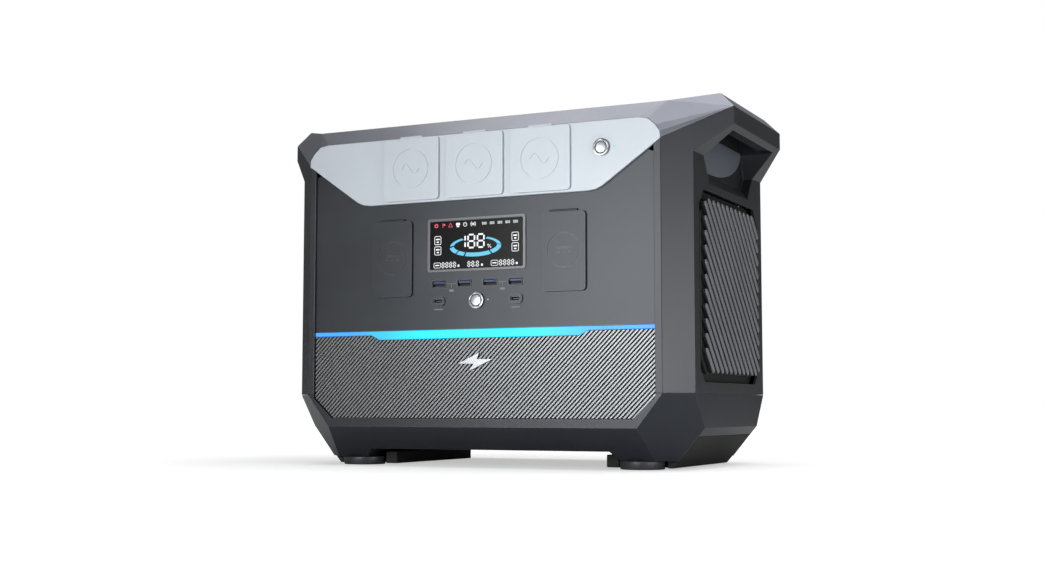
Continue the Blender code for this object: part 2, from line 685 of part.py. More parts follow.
def usb_ports():
    """USB ports: a shell open to the front with its tongue standing on the back wall."""
    for index, x in enumerate(USB_A_XS):
        name = f"usb_a_port_{index + 1}"
        port = socket_body(name, (x, USB_Z), (7.0, 3.1), PANEL_Y - 0.5, -103, STEEL)
        combine(port, outlined(f"cut_{name}", around(x, USB_Z, 6.45, 2.55, 0.3), "Y", -140, -106))
        tongue = box(f"add_{name}", (x - 5.8, -117.5, USB_Z + 0.2), (x + 5.8, -105, USB_Z + 2))
        combine(port, tongue, "UNION")
    for index, x in enumerate(USB_C_XS):
        name = f"usb_c_port_{index + 1}"
        port = outlined(name, around(x, USB_C_Z, 5.8, 3.3, 2.8, 4), "Y", PANEL_Y - 0.6, -108, STEEL)
        combine(port, outlined(f"cut_{name}", around(x, USB_C_Z, 4.3, 1.4, 1.35, 4), "Y", -140, -110))
        tongue = box(f"add_{name}", (x - 3.3, -117.5, USB_C_Z - 0.35), (x + 3.3, -109, USB_C_Z + 0.35))
        combine(port, tongue, "UNION")


def push_button(name, place, face_y, outward, look):
    """A cap that slides in a ring. The ring is fixed to the panel, and the cap's origin is on its axis."""
    x, z = place
    ring_y = face_y + outward * (0.9 + GAP)
    ring = rod(f"{name}_ring", (x, ring_y, z), "Y", 7.4, 1.8, STEEL, 40)
    combine(ring, rod(f"cut_{name}_ring", (x, ring_y, z), "Y", 5.6, 20, sides=40))
    cap = rod(name, (x, face_y - outward * 2, z), "Y", 5.2, 8.6, look, 32)
    hinge_at(cap, (x, face_y - outward * 2, z))


def buttons():
    """The two front output buttons and the rear breaker."""
    push_button("dc_button", DC_BUTTON, PANEL_Y, -1, SILVER)
    push_button("ac_button", AC_BUTTON, FASCIA_Y, -1, SILVER)
    place = (BREAKER[0], -PANEL_Y - 1, BREAKER[1])
    cap = rod("breaker_button", place, "Y", 6.2, 9, BLACK, 32)
    hinge_at(cap, place)


def power_unit():
    """The battery, its tray and the electronics above it."""
    front, back = INSIDE_FRONT_Y, INSIDE_BACK_Y
    box("battery_tray", (-INSIDE_HALF_X - 2, front - 4, 20), (INSIDE_HALF_X + 2, back, 24), ALUMINIUM)
    box("battery_pack", (-INSIDE_HALF_X, front, 25), (INSIDE_HALF_X, back, 146), CELL_BLUE, 3)
    box("bms_board", (-100, front + 2, 148), (60, back - 6, 150), BOARD)
    box("chassis_plate", (-INSIDE_HALF_X, front, 160), (INSIDE_HALF_X, back, 162), ALUMINIUM)
    box("inverter_board", (-140, -60, 166), (140, 80, 168), BOARD)
    outlined("inverter_heatsink", heatsink_outline(), "Y", -50, 70, ALUMINIUM)
    box("transformer", (-40, -30, 214), (40, 50, 262), COPPER, 6)


def heatsink_outline():
    """A base with upright fins, seen from the front."""
    outline = [(-SINK_HALF, SINK_LOW_Z), (SINK_HALF, SINK_LOW_Z)]
    for fin in range(FIN_COUNT):
        right = SINK_HALF - fin * FIN_PITCH
        left = right - FIN_THICK
        outline += [(right, SINK_BASE_Z), (right, SINK_HIGH_Z), (left, SINK_HIGH_Z), (left, SINK_BASE_Z)]
    return outline + [(-SINK_HALF, SINK_BASE_Z)]


def fans():
    """A fan behind each vent: a square frame with a bore, and a rotor on the X axis."""
    for side, word in ((-1, "left"), (1, "right")):
        ends = sorted((side * (FAN_X - FAN_THICK / 2), side * (FAN_X + FAN_THICK / 2)))
        square = around(0, FAN_Z, FAN_HALF, FAN_HALF, 5, 2)
        frame = outlined(f"{word}_fan_frame", square, "X", *ends, BLACK)
        combine(frame, rod(f"cut_{word}_fan", (side * FAN_X, 0, FAN_Z), "X", FAN_BORE, 40, sides=48))
        rotor = rod(f"{word}_fan_rotor", (side * FAN_X, 0, FAN_Z), "X", FAN_HUB, 20, BLACK, 24)
        for blade in range(FAN_BLADES):
            shape = box(f"add_{word}_blade_{blade}", (-8, -7, 12), (8, 7, 40.5))
            tilt = Matrix.Rotation(math.radians(35), 4, "Z")
            turn = Matrix.Rotation(math.tau * blade / FAN_BLADES, 4, "X")
            slim = Matrix.Diagonal((1, 0.16, 1, 1))
            shape.data.transform(turn @ tilt @ slim)
            shape.location = (side * FAN_X * MM, 0, FAN_Z * MM)
            combine(rotor, shape, "UNION")
        hinge_at(rotor, (side * FAN_X, 0, FAN_Z))


def main():
    clear_scene()
    bottom_shell()
    skids()
    feet()
    for side, word in ((-1, "left"), (1, "right")):
        side_shell(side, word)
    vents()
    grips()
    top_cover()
    front_panel()
    ac_fascia()
    rear_panel()
    light_and_grille()
    display()
    covers()
    sockets()
    usb_ports()
    buttons()
    power_unit()
    fans()


main()
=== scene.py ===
"""The looks of a portable power station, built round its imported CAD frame. Lengths are in metres."""

import math

import bmesh
import bpy
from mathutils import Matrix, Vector


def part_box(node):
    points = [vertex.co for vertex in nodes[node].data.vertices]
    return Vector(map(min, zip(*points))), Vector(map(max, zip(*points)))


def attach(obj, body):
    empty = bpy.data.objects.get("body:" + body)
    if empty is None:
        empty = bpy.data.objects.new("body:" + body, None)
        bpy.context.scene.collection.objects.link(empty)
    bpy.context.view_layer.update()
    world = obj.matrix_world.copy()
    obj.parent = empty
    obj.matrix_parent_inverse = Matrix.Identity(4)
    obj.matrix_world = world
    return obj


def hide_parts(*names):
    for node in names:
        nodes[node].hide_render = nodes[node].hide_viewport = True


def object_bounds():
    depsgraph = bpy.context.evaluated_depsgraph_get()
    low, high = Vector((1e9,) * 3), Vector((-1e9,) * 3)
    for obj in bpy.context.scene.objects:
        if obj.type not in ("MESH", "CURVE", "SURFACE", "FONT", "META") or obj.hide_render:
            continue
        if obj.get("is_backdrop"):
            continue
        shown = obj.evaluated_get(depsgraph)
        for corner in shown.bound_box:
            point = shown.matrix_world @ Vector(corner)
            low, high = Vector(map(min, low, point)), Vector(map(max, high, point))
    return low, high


MM = 0.001
SKIN = 0.15 * MM

# The camera, in the row frame.
CAMERA_PLACE = (0.5889, -1.2496, 0.0536)
CAMERA_YAW = 25.658
CAMERA_PITCH = 4.843
CAMERA_LENS = 49.73

# Details that the CAD model leaves plain.
GRILLE_PITCH = 4.1 * MM
GRILLE_RIB = 2.5 * MM
GRILLE_RIB_SKEW = 1.6
GRILLE_RIB_DEPTH = 1.6 * MM
GRILLE_RIB_TAPER = 0.22
LOUVRE_PITCH = 12.6 * MM
LOUVRE_WIDTH = 5.0 * MM
LOUVRE_CAP = 1.9 * MM
LOUVRE_DEPTH = 5.2 * MM
LOUVRE_INSET = 7 * MM
LOUVRE_SIDES = 10
LOUVRE_END_STEPS = 6
VENT_CORNER_CUT = 13 * MM
VENT_PAN_THICKNESS = 3 * MM
AC_RING_RADIUS = 18 * MM
DC_RING_RADIUS = 15 * MM
RING_LINE = 0.6 * MM
SYMBOL_LINE = 1.0 * MM
GROOVE_DEPTH = 0.45 * MM
DIGIT_LINE = 1.4 * MM
# Where the painted shade and the painted light sit on a finger pocket's inner wall.
POCKET_WALL_X = 188 * MM
POCKET_FLOOR_Z = 258.5 * MM
POCKET_WIDE_Z = 269.5 * MM
LIGHT_PATCH_TOP_Z = 292.5 * MM
POCKET_BULGE = 8 * MM
LIGHT_PATCH_MARGIN = 1 * MM
LIGHT_PATCH_STEPS = 12
SCREW_X = 140 * MM
SCREW_INSET = 12 * MM
SCREW_SIDES = 24
# The head's turned profile, as radius and distance out of the panel, in millimetres.
SCREW_PROFILE = ((4, 0.05), (4, 0.9), (3.2, 1.5), (1.9, 1.6), (1.6, 0.6))
PRINT_LINE = 0.4 * MM
MERGE_DISTANCE = 0.00001
FLOOR_REACH = 30
AMBIENT_LIGHT = 0.11
FLOOR_GLOW = 0.5
FLOOR_GLOW_NEAR = 0.3
FLOOR_GLOW_FAR = 1.3

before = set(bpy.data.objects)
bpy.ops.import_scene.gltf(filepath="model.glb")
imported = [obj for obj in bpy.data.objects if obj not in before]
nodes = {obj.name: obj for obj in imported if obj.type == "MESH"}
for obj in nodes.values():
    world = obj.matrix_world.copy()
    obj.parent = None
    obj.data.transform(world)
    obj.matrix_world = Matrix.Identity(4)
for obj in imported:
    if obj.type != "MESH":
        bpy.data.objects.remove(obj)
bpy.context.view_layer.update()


# ---------------------------------------------------------------- materials


def link(tree, source, target):
    tree.links.new(source, target)


def node(tree, kind, **values):
    """A node with some of its inputs set by name."""
    made = tree.nodes.new(kind)
    for name, value in values.items():
        made.inputs[name.replace("_", " ")].default_value = value
    return made


def surface(name, colour, roughness, metallic=0.0, grain=2600, bump=0.06, drift=0.12, edge_highlight=0.35, coat=0.0,
            shine=0.5):
    """A moulded or painted finish: fine grain, slow colour drift, uneven gloss and a painted highlight that
    lightens the edges.
    """
    made = bpy.data.materials.new(name)
    made.use_nodes = True
    tree = made.node_tree
    shader = tree.nodes["Principled BSDF"]
    shader.inputs["Metallic"].default_value = metallic
    shader.inputs["Coat Weight"].default_value = coat
    shader.inputs["Coat Roughness"].default_value = 0.15
    shader.inputs["Specular IOR Level"].default_value = shine
    place = tree.nodes.new("ShaderNodeTexCoord")

    cloudy = node(tree, "ShaderNodeTexNoise", Scale=11.0, Detail=4.0, Roughness=0.6)
    link(tree, place.outputs["Object"], cloudy.inputs["Vector"])
    shades = tree.nodes.new("ShaderNodeValToRGB")
    shades.color_ramp.elements[0].position = 0.3
    shades.color_ramp.elements[1].position = 0.7
    shades.color_ramp.elements[0].color = (*[c * (1 - drift) for c in colour], 1)
    shades.color_ramp.elements[1].color = (*[min(1, c * (1 + drift)) for c in colour], 1)
    link(tree, cloudy.outputs["Fac"], shades.inputs["Fac"])

    fine = node(tree, "ShaderNodeTexNoise", Scale=grain, Detail=2.0, Roughness=0.5)
    link(tree, place.outputs["Object"], fine.inputs["Vector"])
    relief = node(tree, "ShaderNodeBump", Strength=bump, Distance=0.0002)
    link(tree, fine.outputs["Fac"], relief.inputs["Height"])
    link(tree, relief.outputs["Normal"], shader.inputs["Normal"])

    # Painted highlight: edges are lightened towards a paler copy of the colour, as if light caught them.
    edge = edge_mask(tree)
    highlighted = tree.nodes.new("ShaderNodeMix")
    highlighted.data_type = "RGBA"
    highlighted.inputs["B"].default_value = (*[min(1, c * 1.8 + 0.06) for c in colour], 1)
    amount = node(tree, "ShaderNodeMath")
    amount.operation = "MULTIPLY"
    amount.inputs[1].default_value = edge_highlight
    link(tree, edge, amount.inputs[0])
    link(tree, amount.outputs[0], highlighted.inputs["Factor"])
    link(tree, shades.outputs["Color"], highlighted.inputs["A"])
    link(tree, highlighted.outputs["Result"], shader.inputs["Base Color"])

    gloss = tree.nodes.new("ShaderNodeMapRange")
    gloss.inputs["To Min"].default_value = roughness * 0.88
    gloss.inputs["To Max"].default_value = min(1, roughness * 1.12)
    link(tree, cloudy.outputs["Fac"], gloss.inputs["Value"])
    link(tree, gloss.outputs["Result"], shader.inputs["Roughness"])
    return made


def edge_mask(tree):
    """1 near an edge and 0 on a flat face, from how far a rounded normal leans from the true one."""
    rounded_normal = tree.nodes.new("ShaderNodeBevel")
    rounded_normal.samples = 4
    rounded_normal.inputs["Radius"].default_value = 1.2 * MM
    true_normal = tree.nodes.new("ShaderNodeNewGeometry")
    lean = tree.nodes.new("ShaderNodeVectorMath")
    lean.operation = "DOT_PRODUCT"
    link(tree, rounded_normal.outputs["Normal"], lean.inputs[0])
    link(tree, true_normal.outputs["True Normal"], lean.inputs[1])
    scaled = tree.nodes.new("ShaderNodeMapRange")
    scaled.inputs["From Min"].default_value = 0.98
    scaled.inputs["From Max"].default_value = 0.75
    link(tree, lean.outputs["Value"], scaled.inputs["Value"])
    return scaled.outputs["Result"]


def glowing(name, colour, strength, glow_base=0.3):
    """A lit marking, a little uneven like a diffuser."""
    made = surface(name, [c * glow_base for c in colour], 0.4, bump=0.01, edge_highlight=0.0)
    tree = made.node_tree
    shader = tree.nodes["Principled BSDF"]
    place = tree.nodes.new("ShaderNodeTexCoord")
    uneven = node(tree, "ShaderNodeTexNoise", Scale=300.0)
    link(tree, place.outputs["Object"], uneven.inputs["Vector"])
    shades = tree.nodes.new("ShaderNodeValToRGB")
    shades.color_ramp.elements[0].color = (*[c * 0.93 for c in colour], 1)
    shades.color_ramp.elements[1].color = (*colour, 1)
    link(tree, uneven.outputs["Fac"], shades.inputs["Fac"])
    link(tree, shades.outputs["Color"], shader.inputs["Emission Color"])
    shader.inputs["Emission Strength"].default_value = strength
    return made


def light_bar_finish():
    """A diffuser lit cyan in the middle and blue at both ends."""
    made = glowing("light_bar_glow", (0.0, 0.75, 1.0), 1.0)
    tree = made.node_tree
    shader = tree.nodes["Principled BSDF"]
    place = tree.nodes.new("ShaderNodeTexCoord")
    split = tree.nodes.new("ShaderNodeSeparateXYZ")
    link(tree, place.outputs["Object"], split.inputs["Vector"])
    size = node(tree, "ShaderNodeMath")
    size.operation = "ABSOLUTE"
    link(tree, split.outputs["X"], size.inputs[0])
    reach = tree.nodes.new("ShaderNodeMapRange")
    reach.inputs["From Max"].default_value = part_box("light_bar")[1].x
    link(tree, size.outputs[0], reach.inputs["Value"])
    shades = tree.nodes.new("ShaderNodeValToRGB")
    shades.color_ramp.elements[0].position = 0.35
    shades.color_ramp.elements[1].position = 0.72
    shades.color_ramp.elements[0].color = (0.0, 0.72, 1.0, 1)
    shades.color_ramp.elements[1].color = (0.06, 0.24, 0.95, 1)
    link(tree, reach.outputs["Result"], shades.inputs["Fac"])
    link(tree, shades.outputs["Color"], shader.inputs["Emission Color"])
    return made


SHELL = surface("shell_plastic", (0.031, 0.034, 0.04), 0.36, metallic=0.3, edge_highlight=0.7)
# Painted light: a grey-blue colour standing in for light falling on a finger pocket's inner wall.
POCKET_LIGHT_PAINT = surface("pocket_painted_light_and_shade", (0.22, 0.235, 0.29), 0.35, metallic=0.5)
BASE = surface("base_plastic", (0.024, 0.028, 0.036), 0.36, metallic=0.3, edge_highlight=0.7)
PANEL = surface("charcoal_panel", (0.04, 0.044, 0.05), 0.36, metallic=0.6, bump=0.04, edge_highlight=0.6)
ROOF = surface("roof_paint", (0.24, 0.25, 0.29), 0.32, metallic=0.6, coat=0.15, bump=0.03)
SILVER = surface("silver_paint", (0.53, 0.58, 0.63), 0.42, metallic=0.2, bump=0.03, drift=0.03, edge_highlight=0.1)
RIB = surface("rib_metal", (0.21, 0.22, 0.23), 0.36, metallic=0.7, drift=0.08)
LOUVRE = surface("louvre_plastic", (0.2, 0.205, 0.225), 0.34, metallic=0.4, drift=0.08)
BLACK = surface("black_plastic", (0.005, 0.005, 0.006), 0.6, drift=0.2)
RUBBER = surface("black_rubber", (0.009, 0.009, 0.01), 0.7, grain=1500, bump=0.15, drift=0.25)
FOOT = surface("foot_rubber", (0.05, 0.053, 0.058), 0.4, metallic=0.3, grain=1500, bump=0.12)
SCREEN = surface("screen_glass", (0.002, 0.002, 0.003), 0.25, bump=0.0, edge_highlight=0.0, shine=0.12)
BEZEL = surface("bezel_plastic", (0.12, 0.125, 0.135), 0.35, metallic=0.4, drift=0.06)
PORT = surface("port_metal", (0.06, 0.062, 0.066), 0.4, metallic=0.8, drift=0.06)
CHROME = surface("button_metal", (0.36, 0.37, 0.4), 0.32, metallic=0.9, drift=0.05)
RING = surface("ring_metal", (0.2, 0.21, 0.22), 0.3, metallic=0.9, drift=0.05)
ALLOY = surface("alloy", (0.6, 0.61, 0.63), 0.35, metallic=1.0)
BOARD = surface("board_green", (0.01, 0.1, 0.04), 0.45, drift=0.3)
CELLS = surface("cell_wrap", (0.03, 0.09, 0.25), 0.5, drift=0.15)
COPPER = surface("copper_wire", (0.6, 0.26, 0.12), 0.3, metallic=1.0, drift=0.2)
TONGUE = surface("usb_tongue", (0.006, 0.03, 0.16), 0.35)
INK = surface("panel_print", (0.2, 0.21, 0.23), 0.5, edge_highlight=0.0)
WHITE_LIT = glowing("lit_white", (0.9, 0.92, 0.94), 0.9)
CYAN_LIT = glowing("lit_cyan", (0.09, 0.5, 0.72), 0.9)
RED_LIT = glowing("lit_red", (0.8, 0.07, 0.14), 0.8)
BAR_LIT = light_bar_finish()


# ---------------------------------------------------------------- mesh helpers


def mesh_object(name, shape):
    """Turns a bmesh into an object in the scene, with its faces turned outwards."""
    bmesh.ops.recalc_face_normals(shape, faces=shape.faces)
    mesh = bpy.data.meshes.new(name)
    shape.to_mesh(mesh)
    shape.free()
    made = bpy.data.objects.new(name, mesh)
    bpy.context.scene.collection.objects.link(made)
    return made


def piece(name, shape, finish, body="root", replaces=()):
    """Makes an object from a bmesh and lets it ride on a body."""
    made = mesh_object(name, shape)
    made.data.materials.append(finish)
    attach(made, body)
    if replaces:
        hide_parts(*replaces)
    return made


def prism(shape, outline, axis, low, high):
    """Adds an outline pushed along an axis. Its two values are the other axes, in order."""
    order = {"X": (2, 0, 1), "Y": (0, 2, 1), "Z": (0, 1, 2)}[axis]
    corners = []
    for across, up in outline:
        local = (across, up, low)
        corners.append(shape.verts.new([local[i] for i in order]))
    face = shape.faces.new(corners)
    pushed = bmesh.ops.extrude_face_region(shape, geom=[face])
    moved = [item for item in pushed["geom"] if isinstance(item, bmesh.types.BMVert)]
    direction = Vector([(0, 0, high - low)[i] for i in order])
    bmesh.ops.translate(shape, vec=direction, verts=moved)
    return shape


def arc(centre, radius, start, end, steps):
    angles = [math.radians(start + (end - start) * step / steps) for step in range(steps + 1)]
    return [(centre[0] + radius * math.cos(a), centre[1] + radius * math.sin(a)) for a in angles]


def rounded(low, high, radius, steps=5):
    """A rectangle with round corners."""
    centres = (
        ((high[0] - radius, high[1] - radius), 0),
        ((low[0] + radius, high[1] - radius), 90),
        ((low[0] + radius, low[1] + radius), 180),
        ((high[0] - radius, low[1] + radius), 270),
    )
    return [point for centre, start in centres for point in arc(centre, radius, start, start + 90, steps)]


def around(x, z, half_width, half_height, radius, steps=5):
    return rounded((x - half_width, z - half_height), (x + half_width, z + half_height), radius, steps)


def stroke(points, width):
    """The outline of a line of even width through some points."""
    left, right = [], []
    for index, point in enumerate(points):
        before = Vector(points[max(index - 1, 0)])
        after = Vector(points[min(index + 1, len(points) - 1)])
        along = (after - before).normalized()
        side = Vector((-along.y, along.x)) * width / 2
        left.append(tuple(Vector(point) + side))
        right.append(tuple(Vector(point) - side))
    return left + right[::-1]


def band(shape, centre, radius, width, start, end, steps, low, high):
    """Adds part of a flat ring facing the front, as thin solids."""
    path = arc(centre, radius, start, end, steps)
    for first, second in zip(path, path[1:]):
        prism(shape, stroke([first, second], width), "Y", low, high)


def ring(shape, centre, radius, width, low, high, steps=48):
    """Adds a flat ring facing the front, as one solid."""
    loops = []
    for y in (low, high):
        for r in (radius - width / 2, radius + width / 2):
            circle = arc(centre, r, 0, 360 - 360 / steps, steps - 1)
            loops.append([shape.verts.new((x, y, z)) for x, z in circle])
    order = (0, 1, 3, 2)
    for step in range(steps):
        after = (step + 1) % steps
        for index in range(4):
            a, b = loops[order[index]], loops[order[(index + 1) % 4]]
            shape.faces.new((a[step], a[after], b[after], b[step]))


def apply_modifiers(made):
    """Replaces an object's mesh by its evaluated one."""
    graph = bpy.context.evaluated_depsgraph_get()
    mesh = bpy.data.meshes.new_from_object(made.evaluated_get(graph))
    made.modifiers.clear()
    made.data = mesh


def boolean(target, tool, operation):
    """Applies an exact Boolean and removes the tool."""
    modifier = target.modifiers.new("cut", "BOOLEAN")
    modifier.operation = operation
    modifier.object = tool
    modifier.use_self = operation != "DIFFERENCE"
    apply_modifiers(target)
    bpy.data.objects.remove(tool)


def soften(made, width, segments=2, angle=28, smooth=False):
    """Rounds an object's edges, after joining and flattening its triangles."""
    weld = made.modifiers.new("weld", "WELD")
    weld.merge_threshold = MERGE_DISTANCE
    flat = made.modifiers.new("flat", "DECIMATE")
    flat.decimate_type = "DISSOLVE"
    flat.angle_limit = math.radians(0.5)
    bevel = made.modifiers.new("soft", "BEVEL")
    bevel.width = width
    bevel.segments = segments
    bevel.limit_method = "ANGLE"
    bevel.angle_limit = math.radians(angle)
    if smooth:
        bevel.harden_normals = True
        made.data.shade_smooth()
    else:
        made.data.shade_flat()


def dress(name, finish, width=0.0, segments=2, smooth=False):
    """Gives a CAD node its finish, and soft edges where a width is given."""
    target = nodes[name]
    target.data.materials.clear()
    target.data.materials.append(finish)
    if width:
        soften(target, width, segments, smooth=smooth)


def centre_of(name):
    low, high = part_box(name)
    return (low + high) / 2


# ---------------------------------------------------------------- finishes of the CAD nodes


def dress_cad_nodes():
    """Finishes for every node that keeps its CAD shape."""
    for name in ("left_side_shell", "right_side_shell"):
        dress(name, SHELL, 1.1 * MM, 3)
    dress("bottom_shell", BASE, 1.0 * MM, 3)
    dress("top_cover", ROOF, 1.6 * MM, 3)
    dress("front_panel", PANEL)
    dress("rear_panel", PANEL)
    dress("ac_fascia", SILVER, 0.4 * MM)
    dress("light_bar", BAR_LIT, 0.3 * MM)
    dress("badge", CHROME, 0.25 * MM)
    dress("display_bezel", BEZEL, 0.3 * MM)
    dress("display_window", SCREEN, 0.2 * MM)
    for index in range(1, 4):
        dress(f"ac_socket_{index}", BLACK, 0.2 * MM)
    for name in ("car_socket", "dc_inlet_module", "ac_inlet", "solar_inlet", "breaker_button"):
        dress(name, BLACK, 0.3 * MM)
    for name in ("left_fan_frame", "right_fan_frame", "left_fan_rotor", "right_fan_rotor"):
        dress(name, BLACK)
    for name in ("left_handle_grip", "right_handle_grip"):
        dress(name, RUBBER, 0.3 * MM)
    for name in ("left_base_skid", "right_base_skid"):
        dress(name, RUBBER, 0.8 * MM)
    for name in ("front_left_foot", "front_right_foot", "rear_left_foot", "rear_right_foot"):
        dress(name, FOOT, 0.7 * MM, 3, smooth=True)
    for index in range(1, 5):
        dress(f"usb_a_port_{index}", PORT)
    for index in range(1, 3):
        dress(f"usb_c_port_{index}", PORT)
    for name in ("ac_button", "dc_button"):
        dress(name, CHROME, 0.6 * MM, 3, smooth=True)
        dress(f"{name}_ring", RING, 0.4 * MM, 3, smooth=True)
    for name in ("battery_tray", "chassis_plate", "inverter_heatsink"):
        dress(name, ALLOY)
    for name in ("light_bar_board", "display_board", "bms_board", "inverter_board"):
        dress(name, BOARD)
    dress("battery_pack", CELLS, 1 * MM)
    dress("transformer", COPPER, 1 * MM)


# ---------------------------------------------------------------- front grille and vents


def front_grille():
    """Fine ribs at 45 degrees on a dark plate, trimmed to the CAD plate's outline."""
    low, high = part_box("front_grille")
    ribs = bmesh.new()
    height = high.z - low.z
    count = int((high.x - low.x + height) / GRILLE_PITCH) + 2
    half = GRILLE_RIB / 2
    for index in range(count):
        start = low.x - height + index * GRILLE_PITCH
        slanted = [
            (start - half, low.z - half),
            (start + half * GRILLE_RIB_SKEW, low.z - half),
            (start + half * GRILLE_RIB_SKEW + height + 2 * half, high.z + half),
            (start - half + height + 2 * half, high.z + half),
        ]
        prism_ridge(ribs, slanted, low.y, low.y + GRILLE_RIB_DEPTH)
    made = piece("grille_ribs", ribs, RIB)
    boolean(made, grille_trim(), "INTERSECT")
    made.data.materials.clear()
    made.data.materials.append(RIB)


def prism_ridge(shape, outline, front_y, back_y):
    """Adds a bar whose front face is narrower than its back."""
    across = (Vector(outline[1]) - Vector(outline[0])) * GRILLE_RIB_TAPER
    shift = [across, -across, -across, across]
    near = [shape.verts.new((p[0] + s.x, front_y, p[1] + s.y)) for p, s in zip(outline, shift)]
    far = [shape.verts.new((p[0], back_y, p[1])) for p in outline]
    shape.faces.new(near)
    shape.faces.new(far[::-1])
    for index in range(4):
        after = (index + 1) % 4
        shape.faces.new((near[index], far[index], far[after], near[after]))


def grille_trim():
    """A thicker copy of the CAD grille, to trim the ribs with."""
    source = nodes["front_grille"]
    shape = bmesh.new()
    shape.from_mesh(source.data)
    bmesh.ops.remove_doubles(shape, verts=shape.verts, dist=MERGE_DISTANCE)
    low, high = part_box("front_grille")
    for vert in shape.verts:
        vert.co.y = low.y - 5 * MM if vert.co.y < (low.y + high.y) / 2 else high.y + 5 * MM
        vert.co.x *= 0.9975
        vert.co.z += (0.5 * MM) if vert.co.z < low.z + 20 * MM else (-0.3 * MM)
    return mesh_object("grille_trim", shape)


def grille_back():
    """The dark plate behind the ribs."""
    source = nodes["front_grille"]
    shape = bmesh.new()
    shape.from_mesh(source.data)
    bmesh.ops.remove_doubles(shape, verts=shape.verts, dist=MERGE_DISTANCE)
    low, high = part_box("front_grille")
    for vert in shape.verts:
        if vert.co.y < (low.y + high.y) / 2:
            vert.co.y = low.y + 1.5 * MM
    piece("grille_plate", shape, BLACK, replaces=("front_grille",))


def gaskets():
    """Black foam behind the seams of the grille and the front panel, so that less light shows through."""
    low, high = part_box("front_grille")
    bar_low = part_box("light_bar")[0].z
    back_y = high.y + SKIN
    foam = bmesh.new()
    foam_low = (low.x - 2 * MM, low.z - 1.5 * MM)
    foam_high = (high.x + 2 * MM, bar_low - 0.5 * MM)
    prism(foam, rounded(foam_low, foam_high, 18 * MM, 1), "Y", back_y, back_y + 0.8 * MM)
    piece("grille_gasket", foam, BLACK)
    panel_low, panel_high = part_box("front_panel")
    for side, word in ((-1, "left"), (1, "right")):
        strip = bmesh.new()
        near, far = sorted((side * (panel_high.x - 6 * MM), side * (panel_high.x + 2.5 * MM)))
        top = panel_high.z - 30 * MM
        outline = [(near, panel_low.z), (far, panel_low.z), (far, top), (near, top)]
        prism(strip, outline, "Y", panel_high.y + SKIN, panel_high.y + 1 * MM)
        piece(f"{word}_panel_gasket", strip, BLACK)


def louvres(side, word):
    """Slanted ribs with grey caps on black stems, the black a painted shade for the ribs' shaded sides, on a
    dark pan inside the recess.
    """
    low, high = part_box(f"{word}_vent_grille")
    outer = high.x if side > 0 else low.x
    pan_x = outer - side * LOUVRE_DEPTH
    back_x = low.x if side > 0 else high.x
    floor_x = back_x + side * VENT_PAN_THICKNESS
    pan = bmesh.new()
    prism(pan, vent_outline(low, high, 0), "X", *sorted((back_x, floor_x)))
    piece(f"{word}_vent_pan", pan, BLACK, replaces=(f"{word}_vent_grille",))
    block = bmesh.new()
    prism(block, vent_outline(low, high, LOUVRE_INSET), "X", *sorted((floor_x, pan_x)))
    backing = piece(f"{word}_vent_backing", block, BLACK)
    soften(backing, 1.2 * MM, 3)
    ribs, shaded_side_stems = bmesh.new(), bmesh.new()
    inset = LOUVRE_INSET + LOUVRE_WIDTH * 0.2
    front, back = low.y + inset, high.y - inset
    base, top = low.z + inset, high.z - inset
    offset = base + front + LOUVRE_PITCH * 0.6
    while offset < top + back:
        start = (max(front, offset - top), min(top, offset - front))
        end = (min(back, offset - base), max(base, offset - back))
        if end[0] - start[0] > 2 * LOUVRE_WIDTH:
            add_louvre(ribs, start, end, LOUVRE_WIDTH, outer, outer - side * LOUVRE_CAP)
            # Painted shade: the stems are black where the ribs' sides lie in shade, under the grey caps.
            add_louvre(shaded_side_stems, start, end, LOUVRE_WIDTH * 0.9, outer - side * LOUVRE_CAP / 2, pan_x)
        offset += LOUVRE_PITCH
    for label, shape, finish in (("louvres", ribs, LOUVRE), ("louvre_painted_shade", shaded_side_stems, BLACK)):
        made = piece(f"{word}_vent_{label}", shape, finish)
        made.data.shade_smooth()


def vent_outline(low, high, inset):
    """A rectangle in side view with cut corners."""
    y0, y1, z0, z1 = low.y + inset, high.y - inset, low.z + inset, high.z - inset
    cut = VENT_CORNER_CUT
    return [
        (y0 + cut, z0), (y1 - cut, z0), (y1, z0 + cut), (y1, z1 - cut),
        (y1 - cut, z1), (y0 + cut, z1), (y0, z1 - cut), (y0, z0 + cut),
    ]


def add_louvre(shape, start, end, width, outer, inner):
    """One rib from start to end in side view, with a rounded section and rounded ends."""
    along = (Vector(end) - Vector(start)).normalized()
    across = Vector((-along.y, along.x))
    length = (Vector(end) - Vector(start)).length
    reach = width * 0.7
    smallest = 0.08
    turns = [math.radians(90 / LOUVRE_END_STEPS * step) for step in range(LOUVRE_END_STEPS + 1)]
    stations = [(reach * (1 - math.cos(turn)), max(math.sin(turn), smallest)) for turn in turns]
    stations += [(length - where, scale) for where, scale in reversed(stations)]
    fullness = 0.7
    rows = []
    for where, scale in stations:
        middle = Vector(start) + along * where
        row = []
        for step in range(LOUVRE_SIDES + 1):
            turn = math.pi * step / LOUVRE_SIDES
            spot = middle + across * (math.cos(turn) * width / 2 * scale)
            x = inner + (outer - inner) * math.sin(turn) ** fullness * scale
            row.append(shape.verts.new((x, spot.x, spot.y)))
        rows.append(row)
    for first, second in zip(rows, rows[1:]):
        for step in range(LOUVRE_SIDES):
            shape.faces.new((first[step], first[step + 1], second[step + 1], second[step]))
        shape.faces.new((first[-1], first[0], second[0], second[-1]))
    shape.faces.new(rows[0])
    shape.faces.new(rows[-1][::-1])


